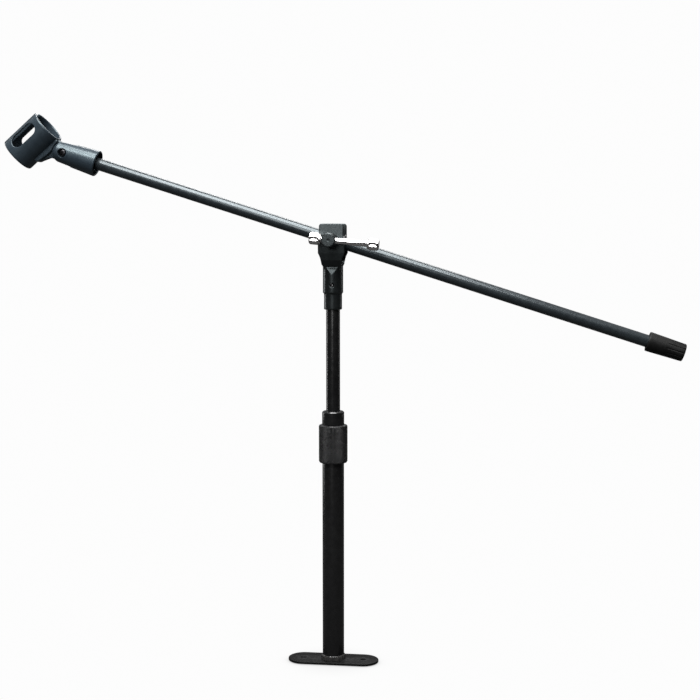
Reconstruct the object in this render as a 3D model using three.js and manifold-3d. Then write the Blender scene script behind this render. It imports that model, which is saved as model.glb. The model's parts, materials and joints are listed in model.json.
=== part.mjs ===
// Boom microphone stand with a screw-down plate, a clutch column, a fork head and a microphone clip.
// Units are millimetres, +Z is up, and the origin is on the plate's underside, on the column's axis.
// +X runs along the plate and towards the boom's lower end; the clamp screw faces -Y.

import * as THREE from 'three';
import { mergeVertices } from 'three/addons/utils/BufferGeometryUtils.js';
import Module from 'manifold-3d';

const wasm = await Module();
wasm.setup();

// ---------- Driving dimensions ----------

const gap = 0.3;                     // clearance kept between neighbouring pieces
const degree = Math.PI / 180;

const plate = { length: 106, width: 37, thickness: 3, holeRadius: 3.25, holeOffset: 35, edge: 0.6 };
const weld = { radius: 14.6, height: 5.4, steps: 4 };
const lowerTube = { outer: 12.5, inner: 10.7, top: 248 };
const upperTube = { outer: 8, inner: 6.8, bottom: 124, top: 446 };
const bush = { bottom: 127, length: 20, clipThickness: 1.2, clipRadius: 10, clipOpening: 5 };
const ferrule = { bottom: 238, top: 262, radius: 14, cup: 11.6, flange: 2.3, flangeBore: 8.8 };
const collet = { bottom: 251, coneFoot: 262.4, top: 274, radius: 11.3, coneTop: 9.6, slit: 2 };
const knob = {
  bottom: 235.4, top: 279, radius: 16.8, foot: 1.4, brow: 0.8, roof: 276, coneFoot: 263.5,
  coneGap: 0.7, boreGap: 0.6,
};
const neck = { top: 294.8, radius: 12.7, chamfer: 1.1, boreGap: 0.4 };
const head = {
  sleeveBottom: 412, sleeveRadius: 10.3, stepHeight: 431.5, shankRadius: 11.6,
  rootBottom: 450, rootHalf: 2.5, rootDepth: 10.5, slotFloor: 464, floorHalf: 11.8,
  shoulderHeight: 466, shoulderDepth: 15.4, saddleHeight: 476.5, saddleHalf: 15.2, saddleDepth: 16.3,
  waistHeight: 489.5, waistStep: 1, blockHalf: 13.9, top: 510, topDepth: 16.7, corner: 3.2,
  cheekInner: 12.8, cheekOuter: 17.2, screwHole: 4.3, stepSlope: 1.5, sleeveEdge: 0.8,
};
const pin = { height: 440, radius: 2, half: 11.4, chamfer: 0.4 };
const tilt = { height: 491.5, rest: 17.6 * degree };
const drum = { radius: 11.5, half: 11.6, bore: 8.5, rearHole: 9.4 };
const washer = { inner: 4.4, outer: 10.5, start: 11.9, thickness: 0.6 };
const liner = { outer: 8.2, inner: 7.3, half: 13.2, flange: 9.8, flangeThickness: 1.2, slit: 1.6 };
const pivotScrew = {
  spigot: 4, tip: 9.7, headStart: 17.5, headEnd: 21.2, headRadius: 7, crown: 1.4, hexRadius: 2.9, hexDepth: 2,
};
const pad = { radius: 3.9, inner: -8.5, outer: -10 };
const clampScrew = { shank: 4, tip: -10.3, hubStart: -18.2, hubEnd: -41, hubRadius: 8, barPlane: -33 };
const bar = { radius: 3.5, slope: 5.6 * degree, left: -21, right: 55 };
const barEnd = { radius: 6.75, length: 13, innerFace: 8.3 + gap, depth: 11.6 };
const boom = { outer: 7, inner: 5.8, left: -293.4, right: 404 };
const endCap = { start: 371, end: 413, bigRadius: 11.1, smallRadius: 10 };
const stub = { plugRadius: 5.5, plugEnd: -266, threadRadius: 4.7, tip: -312 };
const insert = { inner: 5, outer: 9, left: -314.5, right: -294.6 };
const pivot = { along: -329.4 };
const clipBase = {
  left: -341.9, right: -288.8, smallRadius: 12.4, bigRadius: 15.2, wall: 2.2, recess: 5.5, earRadius: 12.5,
  earReach: 8,
};
const clipScrew = {
  shank: 2.5, end: 11.4, headFace: -10.6, headStart: -8.5, headRadius: 4.3, crown: 1, crownRadius: 3.2,
  crossLength: 5, crossWidth: 1, pocketRadius: 5.2, pocketFloor: 8.2,
};
const clipNut = { radius: 4.7, thickness: 3, centre: 10, pocketRadius: 5.1 };
const fork = { halfGap: 4.7, floor: -318.5 };
const tongue = { half: 4.4, eye: 9 };
const clip = {
  turn: 31.4 * degree, outer: 21, inner: 18, length: 51, centreX: -36.3, centreZ: -19.5, slotHalf: 5.2,
  windowLength: 34, windowHeight: 15, windowCentre: -43.6, neckHalf: 8.5, earRelief: 13.4,
};

// ---------- Materials ----------

function finish(color, roughness, metalness) {
  return new THREE.MeshStandardMaterial({ color, roughness, metalness });
}

const plateBlack = () => finish(0x2a2a2a, 0.6, 0.4);
const tubeBlack = () => finish(0x17181a, 0.38, 0.5);
const castBlack = () => finish(0x1e2123, 0.45, 0.4);
const knurlBlack = () => finish(0x202122, 0.55, 0.5);
const chrome = () => finish(0xd8dadc, 0.12, 1.0);
const zincSteel = () => finish(0xa9abae, 0.35, 1.0);
const brass = () => finish(0xb9963f, 0.3, 1.0);
const nylon = () => finish(0xe6e3d8, 0.5, 0.0);
const clipPlastic = () => finish(0x22272b, 0.5, 0.0);
const capRubber = () => finish(0x161616, 0.8, 0.0);

// ---------- Shape helpers ----------

// Turns a triangle soup's winding so that its faces point out.
function facingOut(geometry) {
  const place = geometry.attributes.position;
  const index = geometry.index.array;
  const a = new THREE.Vector3();
  const b = new THREE.Vector3();
  const c = new THREE.Vector3();
  let volume = 0;
  for (let i = 0; i < index.length; i += 3) {
    a.fromBufferAttribute(place, index[i]);
    b.fromBufferAttribute(place, index[i + 1]);
    c.fromBufferAttribute(place, index[i + 2]);
    volume += a.dot(b.cross(c));
  }
  if (volume < 0) {
    for (let i = 0; i < index.length; i += 3) {
      [index[i + 1], index[i + 2]] = [index[i + 2], index[i + 1]];
    }
  }
  return geometry;
}

// Keeps only positions, shares the vertices, and drops triangles that the merge made flat.
function closed(source) {
  const plain = source.clone();
  plain.deleteAttribute('normal');
  plain.deleteAttribute('uv');
  const merged = mergeVertices(plain, 1e-4);
  const index = merged.index.array;
  const kept = [];
  for (let i = 0; i < index.length; i += 3) {
    const [a, b, c] = [index[i], index[i + 1], index[i + 2]];
    if (a !== b && b !== c && c !== a) kept.push(a, b, c);
  }
  merged.setIndex(kept);
  return facingOut(merged);
}

function toSolid(geometry) {
  const ready = closed(geometry);
  return new wasm.Manifold(new wasm.Mesh({
    numProp: 3,
    vertProperties: new Float32Array(ready.attributes.position.array),
    triVerts: new Uint32Array(ready.index.array),
  }));
}

function fromSolid(solid) {
  const mesh = solid.getMesh();
  const geometry = new THREE.BufferGeometry();
  geometry.setAttribute('position', new THREE.BufferAttribute(mesh.vertProperties, 3));
  geometry.setIndex(new THREE.BufferAttribute(mesh.triVerts, 1));
  geometry.computeVertexNormals();
  return geometry;
}

function cut(body, ...tools) {
  return fromSolid(tools.reduce((left, tool) => left.subtract(toSolid(tool)), toSolid(body)));
}

function join(body, ...others) {
  return fromSolid(others.reduce((sum, other) => sum.add(toSolid(other)), toSolid(body)));
}

// A profile of [radius, height] points turned about Z; it closes on itself.
function turned(profile, segments = 36) {
  const points = [...profile, profile[0]].map(([radius, height]) => new THREE.Vector2(radius, height));
  return closed(new THREE.LatheGeometry(points, segments).rotateX(Math.PI / 2));
}

// The same profile turned about X, with heights running towards +X.
function turnedAlongX(profile, segments) {
  return turned(profile, segments).rotateY(Math.PI / 2);
}

// The same profile turned about Y, with heights running towards +Y.
function turnedAlongY(profile, segments) {
  return turned(profile, segments).rotateX(-Math.PI / 2);
}

function pipeProfile(inner, outer, from, to, chamfer = 0) {
  return [
    [inner, from], [outer - chamfer, from], [outer, from + chamfer],
    [outer, to - chamfer], [outer - chamfer, to], [inner, to],
  ];
}

function rodProfile(radius, from, to, chamfer = 0) {
  return pipeProfile(0, radius, from, to, chamfer);
}

function box(sizeX, sizeY, sizeZ, x = 0, y = 0, z = 0) {
  return new THREE.BoxGeometry(sizeX, sizeY, sizeZ).translate(x, y, z);
}

// An outline in X and Z, given thickness along Y and centred on Y = 0.
function slabXZ(shape, thickness) {
  const slab = new THREE.ExtrudeGeometry(shape, { depth: thickness, bevelEnabled: false, curveSegments: 10 });
  return slab.translate(0, 0, -thickness / 2).rotateX(Math.PI / 2);
}

function outline(points) {
  return new THREE.Shape(points.map(([x, y]) => new THREE.Vector2(x, y)));
}

// A rectangle with round ends, long in X, centred on the origin.
function stadium(length, width) {
  const radius = width / 2;
  const straight = length / 2 - radius;
  const shape = new THREE.Shape();
  shape.moveTo(-straight, -radius);
  shape.lineTo(straight, -radius);
  shape.absarc(straight, 0, radius, -Math.PI / 2, Math.PI / 2, false);
  shape.lineTo(-straight, radius);
  shape.absarc(-straight, 0, radius, Math.PI / 2, Math.PI * 1.5, false);
  return shape;
}

function piece(name, geometry, material) {
  const mesh = new THREE.Mesh(geometry, material);
  mesh.name = name;
  return mesh;
}

// ---------- Plate and column ----------

function basePlate() {
  const shape = stadium(plate.length - 2 * plate.edge, plate.width - 2 * plate.edge);
  const depth = plate.thickness - 2 * plate.edge;
  const slab = new THREE.ExtrudeGeometry(shape, {
    depth, bevelEnabled: true, bevelSize: plate.edge, bevelThickness: plate.edge, bevelSegments: 1,
    curveSegments: 14,
  }).translate(0, 0, plate.edge);
  const holes = [-1, 1].map((side) =>
    turned(rodProfile(plate.holeRadius, -1, plate.thickness + 1), 28)
      .translate(side * plate.holeOffset, 0, 0));
  return piece('base_plate', cut(slab, ...holes), plateBlack());
}

function weldBead() {
  const foot = plate.thickness + gap;
  const inner = lowerTube.outer + gap;
  const profile = [[inner, foot]];
  for (let i = 0; i <= weld.steps; i += 1) {
    const angle = (i / weld.steps) * Math.PI / 2;
    const reach = weld.radius - inner;
    profile.push([inner + reach * Math.cos(angle) + 0.01, foot + weld.height * Math.sin(angle) + 0.01]);
  }
  return piece('weld_bead', turned(profile, 40), plateBlack());
}

function lowerColumnTube() {
  const profile = pipeProfile(lowerTube.inner, lowerTube.outer, plate.thickness + gap, lowerTube.top);
  return piece('lower_tube', turned(profile), tubeBlack());
}

function clutchFerrule() {
  const { bottom, top, radius, cup, flange, flangeBore } = ferrule;
  const seat = lowerTube.top + gap;
  const inner = lowerTube.outer + gap;
  const profile = [
    [inner, bottom], [radius, bottom], [radius, top], [cup, top],
    [cup, seat + flange], [flangeBore, seat + flange], [flangeBore, seat], [inner, seat],
  ];
  return piece('clutch_ferrule', turned(profile, 32), zincSteel());
}

function clutchCollet() {
  const { bottom, coneFoot, top, radius, coneTop, slit } = collet;
  const inner = upperTube.outer + gap;
  const cone = turned([
    [inner, bottom], [radius, bottom], [radius, coneFoot], [coneTop, top], [inner, top],
  ], 32);
  const opening = box(8, slit, 30, 10, 0, (bottom + top) / 2);
  return piece('clutch_collet', cut(cone, opening), nylon());
}

function clutchKnob() {
  const { bottom, top, radius, foot, brow, roof, coneFoot, coneGap, boreGap } = knob;
  const bore = upperTube.outer + boreGap;
  const thread = ferrule.radius + gap;
  const profile = [
    [thread, bottom], [radius - foot, bottom], [radius, bottom + foot], [radius, top - brow],
    [radius - brow, top], [bore, top], [bore, roof], [collet.coneTop + coneGap, roof],
    [collet.radius + coneGap, coneFoot], [thread, coneFoot],
  ];
  return piece('clutch_knob', turned(profile, 40), knurlBlack());
}

function neckRing() {
  const { top, radius, chamfer, boreGap } = neck;
  const bottom = knob.top + gap;
  const bore = upperTube.outer + boreGap;
  const profile = [
    [bore, bottom], [radius, bottom], [radius, top - chamfer], [radius - chamfer, top], [bore, top],
  ];
  return piece('clutch_neck_ring', turned(profile), tubeBlack());
}

function guideBush() {
  const profile = pipeProfile(upperTube.outer + gap, lowerTube.inner - gap, bush.bottom,
    bush.bottom + bush.length);
  return piece('guide_bush', turned(profile, 32), nylon());
}

function bushClip(name, bottom) {
  const { clipThickness, clipRadius, clipOpening } = bush;
  const ring = turned(pipeProfile(upperTube.outer + gap, clipRadius, bottom, bottom + clipThickness), 24);
  const opening = box(8, clipOpening, 4, -clipRadius, 0, bottom + clipThickness / 2);
  return piece(name, cut(ring, opening), zincSteel());
}

// Cutter for the cross hole that the pin sits in.
function pinHole() {
  return turnedAlongY(rodProfile(pin.radius + gap, -20, 20), 20).translate(0, 0, pin.height);
}

function upperColumnTube() {
  const profile = pipeProfile(upperTube.inner, upperTube.outer, upperTube.bottom, upperTube.top);
  return piece('upper_tube', cut(turned(profile), pinHole()), tubeBlack());
}

// ---------- Fork head ----------

// Front outline of the casting above the sleeve, seen along Y: a V-shaped root, then the flare to the cheeks.
function forkFront() {
  const { rootBottom, rootHalf, slotFloor, floorHalf, saddleHeight, saddleHalf } = head;
  const { waistHeight, waistStep, blockHalf, top, corner } = head;
  const bulge = 0.6;
  const drop = 5;
  const shape = new THREE.Shape();
  shape.moveTo(-rootHalf, rootBottom);
  shape.lineTo(rootHalf, rootBottom);
  shape.lineTo(floorHalf, slotFloor);
  shape.quadraticCurveTo(floorHalf + bulge, saddleHeight - drop, saddleHalf, saddleHeight);
  shape.lineTo(saddleHalf, waistHeight - waistStep);
  shape.lineTo(blockHalf, waistHeight);
  shape.lineTo(blockHalf, top - corner);
  shape.absarc(blockHalf - corner, top - corner, corner, 0, Math.PI / 2, false);
  shape.lineTo(-blockHalf + corner, top);
  shape.absarc(-blockHalf + corner, top - corner, corner, Math.PI / 2, Math.PI, false);
  shape.lineTo(-blockHalf, waistHeight);
  shape.lineTo(-saddleHalf, waistHeight - waistStep);
  shape.lineTo(-saddleHalf, saddleHeight);
  shape.quadraticCurveTo(-floorHalf - bulge, saddleHeight - drop, -floorHalf, slotFloor);
  return shape;
}

// Side outline of the casting above the sleeve, seen along X: the cheeks' draft meets at the waist.
function forkSide() {
  const { rootBottom, rootDepth, shoulderDepth, shoulderHeight, saddleDepth, saddleHeight } = head;
  const right = [
    [rootDepth, rootBottom], [shoulderDepth, shoulderHeight], [saddleDepth, saddleHeight],
    [head.cheekOuter, head.waistHeight], [head.topDepth, head.top],
  ];
  const left = right.map(([depth, height]) => [-depth, height]).reverse();
  return outline([...right, ...left]);
}

function headCasting() {
  const { sleeveBottom, sleeveRadius, sleeveEdge, stepHeight, stepSlope, shankRadius, slotFloor } = head;
  const front = toSolid(slabXZ(forkFront(), 60));
  const side = toSolid(slabXZ(forkSide(), 60).rotateZ(Math.PI / 2));
  const sleeve = toSolid(turned([
    [0, sleeveBottom], [sleeveRadius - sleeveEdge, sleeveBottom], [sleeveRadius, sleeveBottom + sleeveEdge],
    [sleeveRadius, stepHeight - stepSlope], [shankRadius, stepHeight], [shankRadius, slotFloor],
    [0, slotFloor],
  ]));
  const bore = turned(rodProfile(upperTube.outer + gap, sleeveBottom - 1, upperTube.top + gap));
  const slotHeight = head.top - head.slotFloor + 10;
  const slot = box(60, 2 * head.cheekInner, slotHeight, 0, 0, head.slotFloor + slotHeight / 2);
  const screwHole = turnedAlongY(rodProfile(head.screwHole, -30, 30), 28).translate(0, 0, tilt.height);
  const whole = front.intersect(side).add(sleeve);
  return piece('head_casting', cut(fromSolid(whole), bore, slot, screwHole, pinHole()), castBlack());
}

function sleevePin() {
  const { radius, half, chamfer, height } = pin;
  const rod = turnedAlongY(rodProfile(radius, -half, half, chamfer), 20).translate(0, 0, height);
  return piece('sleeve_pin', rod, zincSteel());
}

function frictionWasher(name, from) {
  const ring = turnedAlongY(pipeProfile(washer.inner, washer.outer, from, from + washer.thickness), 28);
  return piece(name, ring.translate(0, 0, tilt.height), nylon());
}

function pivotBolt() {
  const { spigot, tip, headStart, headEnd, headRadius, crown, hexRadius, hexDepth } = pivotScrew;
  const bolt = turnedAlongY([
    [0, tip], [spigot, tip], [spigot, headStart], [headRadius, headStart],
    [headRadius, headEnd - crown], [headRadius - crown, headEnd], [0, headEnd],
  ], 36);
  const socket = new THREE.CylinderGeometry(hexRadius, hexRadius, 2 * hexDepth, 6).translate(0, headEnd, 0);
  return piece('pivot_bolt', cut(bolt, socket).translate(0, 0, tilt.height), zincSteel());
}

// Drum with its cross bore along X, before the boom's rest tilt is applied.
function swivelDrum() {
  const body = turnedAlongY(rodProfile(drum.radius, -drum.half, drum.half), 40);
  const crossBore = turnedAlongX(rodProfile(drum.bore, -20, 20), 32);
  const frontHole = turnedAlongY(rodProfile(head.screwHole, -20, 0), 28);
  const rearHole = turnedAlongY(rodProfile(head.screwHole, drum.rearHole, 20), 28);
  return piece('swivel_drum', cut(body, crossBore, frontHole, rearHole), castBlack());
}

function boreLiner() {
  const { outer, inner, half, flange, flangeThickness } = liner;
  const sleeve = turnedAlongX([
    [inner, -half], [flange, -half], [flange, -half + flangeThickness], [outer, -half + flangeThickness],
    [outer, half - flangeThickness], [flange, half - flangeThickness], [flange, half], [inner, half],
  ], 32);
  const opening = box(40, 6, liner.slit, 0, flange - 0.8, 0);
  return piece('bore_liner', cut(sleeve, opening), nylon());
}

function pressurePad() {
  const disc = turnedAlongY(rodProfile(pad.radius, pad.outer, pad.inner, 0.3), 28);
  return piece('pressure_pad', disc.translate(0, 0, tilt.height), nylon());
}

// ---------- Clamp screw and sliding bar, built about the screw's axis ----------

function clampScrewBody() {
  const { shank, tip, hubStart, hubEnd, hubRadius, barPlane } = clampScrew;
  const body = turnedAlongY([
    [0, hubEnd], [hubRadius - 1.2, hubEnd], [hubRadius, hubEnd + 1.2], [hubRadius, hubStart - 2.5],
    [hubRadius - 2, hubStart], [shank, hubStart], [shank, tip], [0, tip],
  ], 36);
  const barHole = turnedAlongX(rodProfile(bar.radius + gap, -20, 20), 32).translate(0, barPlane, 0);
  return piece('clamp_screw', cut(body, barHole), castBlack());
}

function tommyBar() {
  const rod = turnedAlongX(rodProfile(bar.radius, bar.left, bar.right, 0.5), 28);
  return piece('tommy_bar', rod.translate(0, clampScrew.barPlane, 0), chrome());
}

// A cup-shaped end screwed over the bar; side is -1 for the left end and 1 for the right.
function barEndCap(name, side) {
  const inner = side < 0 ? barEnd.innerFace + 0.7 : bar.right - barEnd.depth;
  const outer = inner + barEnd.length;
  const floor = (side < 0 ? -bar.left : bar.right) + gap;
  const { radius } = barEnd;
  const hole = bar.radius + gap;
  const cap = turnedAlongX([
    [hole, inner], [radius - 0.9, inner], [radius, inner + 0.9], [radius, outer - 1.4],
    [radius - 1.4, outer], [0, outer], [0, floor], [hole, floor],
  ], 24);
  if (side < 0) cap.rotateZ(Math.PI);
  return piece(name, cap.translate(0, clampScrew.barPlane, 0), chrome());
}

// ---------- Boom, built along X about its own axis ----------

function boomTube() {
  const profile = pipeProfile(boom.inner, boom.outer, boom.left, boom.right);
  return piece('boom_tube', turnedAlongX(profile, 40), tubeBlack());
}

function boomEndCap() {
  const { start, end, bigRadius, smallRadius } = endCap;
  const floor = boom.right + gap;
  const bore = boom.outer + gap;
  const cap = turnedAlongX([
    [bore, start], [bigRadius - 0.7, start], [bigRadius, start + 0.7], [smallRadius, end - 1],
    [smallRadius - 1, end], [0, end], [0, floor], [bore, floor],
  ], 40);
  return piece('boom_end_cap', cap, capRubber());
}

function threadStub() {
  const { plugRadius, plugEnd, threadRadius, tip } = stub;
  const shoulder = boom.left - gap;
  const profile = [
    [0, tip], [threadRadius - 0.6, tip], [threadRadius, tip + 0.6], [threadRadius, shoulder],
    [plugRadius, shoulder], [plugRadius, plugEnd], [0, plugEnd],
  ];
  return piece('boom_thread_stub', turnedAlongX(profile, 32), zincSteel());
}

function threadInsert() {
  const ring = turnedAlongX(pipeProfile(insert.inner, insert.outer, insert.left, insert.right, 0.5), 6);
  const bore = turnedAlongX(rodProfile(insert.inner, insert.left - 2, insert.right + 2), 32);
  return piece('thread_insert', cut(ring, bore), brass());
}

// ---------- Clip base with its fork, insert pocket and hollow end ----------

// Side outline that rounds the fork's ears about the pivot.
function earOutline() {
  const { earRadius, earReach, right, bigRadius } = clipBase;
  const far = right + 5;
  const shape = new THREE.Shape();
  shape.moveTo(pivot.along, -earRadius);
  shape.absarc(pivot.along, 0, earRadius, -Math.PI / 2, Math.PI / 2, true);
  shape.lineTo(pivot.along + earReach, bigRadius + 1);
  shape.lineTo(far, bigRadius + 1);
  shape.lineTo(far, -bigRadius - 1);
  shape.lineTo(pivot.along + earReach, -bigRadius - 1);
  return shape;
}

function clipBaseBody() {
  const { left, right, smallRadius, bigRadius, wall, recess } = clipBase;
  const { pocketRadius, pocketFloor } = clipScrew;
  const cone = turnedAlongX([
    [0, left], [smallRadius - 3, left], [smallRadius, left + 4], [bigRadius, right - 1],
    [bigRadius - 0.8, right], [0, right],
  ], 48);
  const body = fromSolid(toSolid(cone).intersect(toSolid(slabXZ(earOutline(), 60))));
  const hollow = turnedAlongX(rodProfile(bigRadius - wall, right - recess, right + 5), 40);
  const pocket = turnedAlongX(rodProfile(insert.outer + gap, insert.left - gap, right), 6);
  const forkSlot = box(fork.floor - left + 10, 2 * fork.halfGap, 40, (fork.floor + left - 10) / 2, 0, 0);
  const screwHole = turnedAlongY(rodProfile(clipScrew.shank + gap, -20, 20), 24);
  const headPocket = turnedAlongY(rodProfile(pocketRadius, -20, -pocketFloor), 32);
  const nutPocket = new THREE.CylinderGeometry(clipNut.pocketRadius, clipNut.pocketRadius, 12, 6)
    .translate(0, pocketFloor + 6, 0);
  const pivotCuts = [screwHole, headPocket, nutPocket].map((tool) => tool.translate(pivot.along, 0, 0));
  return piece('clip_base', cut(body, hollow, pocket, forkSlot, ...pivotCuts), clipPlastic());
}

function clipPivotScrew() {
  const { shank, end, headFace, headStart, headRadius, crown, crownRadius } = clipScrew;
  const { crossLength, crossWidth } = clipScrew;
  const body = turnedAlongY([
    [0, headFace], [crownRadius, headFace], [headRadius, headFace + crown], [headRadius, headStart],
    [shank, headStart], [shank, end], [0, end],
  ], 28);
  const crossDepth = 2.4;
  const crossA = box(crossLength, crossDepth, crossWidth, 0, headFace, 0);
  const crossB = box(crossWidth, crossDepth, crossLength, 0, headFace, 0);
  return piece('clip_pivot_screw', cut(body, crossA, crossB).translate(pivot.along, 0, 0), zincSteel());
}

function clipPivotNut() {
  const { radius, thickness, centre } = clipNut;
  const nut = new THREE.CylinderGeometry(radius, radius, thickness, 6).translate(0, centre, 0);
  const hole = turnedAlongY(rodProfile(clipScrew.shank + gap, 5, 15), 24);
  return piece('clip_pivot_nut', cut(nut, hole).translate(pivot.along, 0, 0), zincSteel());
}

// ---------- Clip body, built about the pivot with its bore along Z ----------

function clipRing() {
  const { outer, inner, length, centreX, centreZ } = clip;
  const half = length / 2;
  return turned(pipeProfile(inner, outer, -half, half, 0.6), 48).translate(centreX, 0, centreZ);
}

// Neck from the ring to the eye that sits in the fork.
function clipNeck() {
  const ringFace = clip.centreX + clip.inner + 1.5;
  const web = outline([
    [ringFace, -32], [ringFace + 4, -30], [-7.5, -16.5], [-1, -11.5], [-1, 8.4], [ringFace, 4.5],
  ]);
  const eye = new THREE.CylinderGeometry(tongue.eye, tongue.eye, 2 * tongue.half, 40);
  return toSolid(slabXZ(web, 2 * tongue.half)).add(toSolid(eye));
}

// Broad root of the neck, kept clear of the fork's round ears.
function clipNeckRoot() {
  const ringFace = clip.centreX + clip.inner + 1.5;
  const root = outline([
    [ringFace, -32], [ringFace + 4, -30], [-11, -17], [-11, -9], [-13.8, 0], [-14.5, 4.2], [ringFace, 4.5],
  ]);
  return toSolid(slabXZ(root, 2 * clip.neckHalf));
}

function windowCutter() {
  const { windowLength, windowHeight, windowCentre, centreZ } = clip;
  const shape = stadium(windowLength, windowHeight);
  return slabXZ(shape, 80).rotateY(Math.PI / 2).translate(windowCentre, 0, centreZ);
}

function clipBody() {
  const { outer, inner, centreX, centreZ, slotHalf, length } = clip;
  const earRelief = turnedAlongY(rodProfile(clip.earRelief, -40, 40), 48);
  const root = clipNeckRoot().subtract(toSolid(earRelief));
  const bore = turned(rodProfile(inner, centreZ - length, centreZ + length), 48).translate(centreX, 0, 0);
  const slot = box(outer, 2 * slotHalf, length * 2, centreX - outer, 0, centreZ);
  const eyeHole = turnedAlongY(rodProfile(clipScrew.shank + gap, -20, 20), 24);
  const whole = fromSolid(toSolid(clipRing()).add(clipNeck()).add(root));
  return piece('clip_body', cut(whole, bore, slot, windowCutter(), eyeHole), clipPlastic());
}

// ---------- Assembly ----------

function buildClip() {
  const group = new THREE.Group();
  group.position.x = pivot.along;
  group.rotation.y = clip.turn;
  group.add(clipBody());
  return group;
}

function buildBoom() {
  const group = new THREE.Group();
  group.position.z = tilt.height;
  group.rotation.y = tilt.rest;
  group.add(swivelDrum(), boreLiner(), boomTube(), boomEndCap(), threadStub(), threadInsert());
  group.add(clipBaseBody(), clipPivotScrew(), clipPivotNut(), buildClip());
  return group;
}

function buildClamp() {
  const group = new THREE.Group();
  group.position.z = tilt.height;
  group.rotation.y = bar.slope;
  group.add(clampScrewBody(), tommyBar(), barEndCap('bar_end_left', -1), barEndCap('bar_end_right', 1));
  return group;
}

function buildHead() {
  const group = new THREE.Group();
  const { start, thickness } = washer;
  group.add(headCasting(), sleevePin(), pivotBolt(), pressurePad());
  group.add(frictionWasher('rear_friction_washer', start));
  group.add(frictionWasher('front_friction_washer', -start - thickness));
  return group;
}

function buildColumn() {
  const group = new THREE.Group();
  const bushTop = bush.bottom + bush.length;
  group.add(basePlate(), weldBead(), lowerColumnTube(), clutchFerrule(), clutchCollet());
  group.add(clutchKnob(), neckRing(), guideBush(), upperColumnTube());
  group.add(bushClip('lower_bush_clip', bush.bottom - gap - bush.clipThickness));
  group.add(bushClip('upper_bush_clip', bushTop + gap));
  return group;
}

const stand = new THREE.Group();
stand.add(buildColumn(), buildHead(), buildClamp(), buildBoom());

export default stand;
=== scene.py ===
import json
import math

import bmesh
import bpy
from mathutils import Matrix, Vector, noise


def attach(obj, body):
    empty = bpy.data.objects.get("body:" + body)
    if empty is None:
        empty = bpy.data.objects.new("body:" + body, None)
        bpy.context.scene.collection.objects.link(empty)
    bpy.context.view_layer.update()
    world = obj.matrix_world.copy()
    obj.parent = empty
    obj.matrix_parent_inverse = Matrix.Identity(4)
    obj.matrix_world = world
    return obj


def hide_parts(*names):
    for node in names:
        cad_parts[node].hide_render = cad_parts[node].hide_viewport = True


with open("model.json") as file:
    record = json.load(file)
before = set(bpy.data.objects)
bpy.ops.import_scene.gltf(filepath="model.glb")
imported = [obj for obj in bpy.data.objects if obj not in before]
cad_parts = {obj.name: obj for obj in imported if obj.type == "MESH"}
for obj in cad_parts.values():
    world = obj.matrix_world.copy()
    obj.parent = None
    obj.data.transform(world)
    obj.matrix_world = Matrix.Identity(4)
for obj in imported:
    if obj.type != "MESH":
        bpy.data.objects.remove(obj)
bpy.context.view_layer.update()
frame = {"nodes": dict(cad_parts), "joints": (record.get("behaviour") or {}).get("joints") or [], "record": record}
print("frame loaded:", len(frame["nodes"]), "nodes")

mm = 0.001
fullTurn = 2 * math.pi
clearance = 0.3   # mm between a piece and the one round it
over = 1          # mm that a cutter runs past what it cuts
onAxis = 1e-4     # mm; a ring closer to the axis is a single point
jointNamed = {joint["name"]: joint for joint in frame["joints"]}
mountNamed = {mount["name"]: mount for mount in frame["record"]["mounts"]}


# spaces that the pieces are made in, in millimetres

def spaceAt(origin, xAxis):
    # local X along xAxis, local Y along the stand's Y
    x = Vector(xAxis).normalized()
    y = Vector((0, 1, 0))
    z = x.cross(y)
    turn = Matrix((x, y, z)).transposed().to_4x4()
    return Matrix.Translation(origin) @ turn @ Matrix.Scale(mm, 4)


tiltPoint = Vector(jointNamed["boom_tilt"]["pos_m"])
clipPoint = Vector(jointNamed["clip_tilt"]["pos_m"])
boreAxis = Vector(mountNamed["clip_mouth"]["axis"])
standSpace = Matrix.Scale(mm, 4)
headSpace = spaceAt(tiltPoint, (1, 0, 0))
clampSpace = spaceAt(tiltPoint, jointNamed["bar_slide"]["axis"])
boomSpace = spaceAt(tiltPoint, jointNamed["boom_slide"]["axis"])
clipSpace = spaceAt(clipPoint, Vector((0, 1, 0)).cross(boreAxis))


def reach(node, space):
    # lowest and highest corner of a CAD node in one of the spaces
    back = space.inverted()
    points = [back @ v.co for v in frame["nodes"][node].data.vertices]
    low = Vector(min(p[i] for p in points) for i in range(3))
    high = Vector(max(p[i] for p in points) for i in range(3))
    return low, high


def barrel(node, space, along="Z"):
    # outer radius and the two ends of a round CAD node
    low, high = reach(node, space)
    index = "XYZ".index(along)
    across = (index + 1) % 3
    return (high[across] - low[across]) / 2, low[index], high[index]


# mesh tools

def newObject(name, bm):
    mesh = bpy.data.meshes.new(name)
    bmesh.ops.recalc_face_normals(bm, faces=bm.faces)
    bm.to_mesh(mesh)
    bm.free()
    piece = bpy.data.objects.new(name, mesh)
    bpy.context.scene.collection.objects.link(piece)
    return piece


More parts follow.
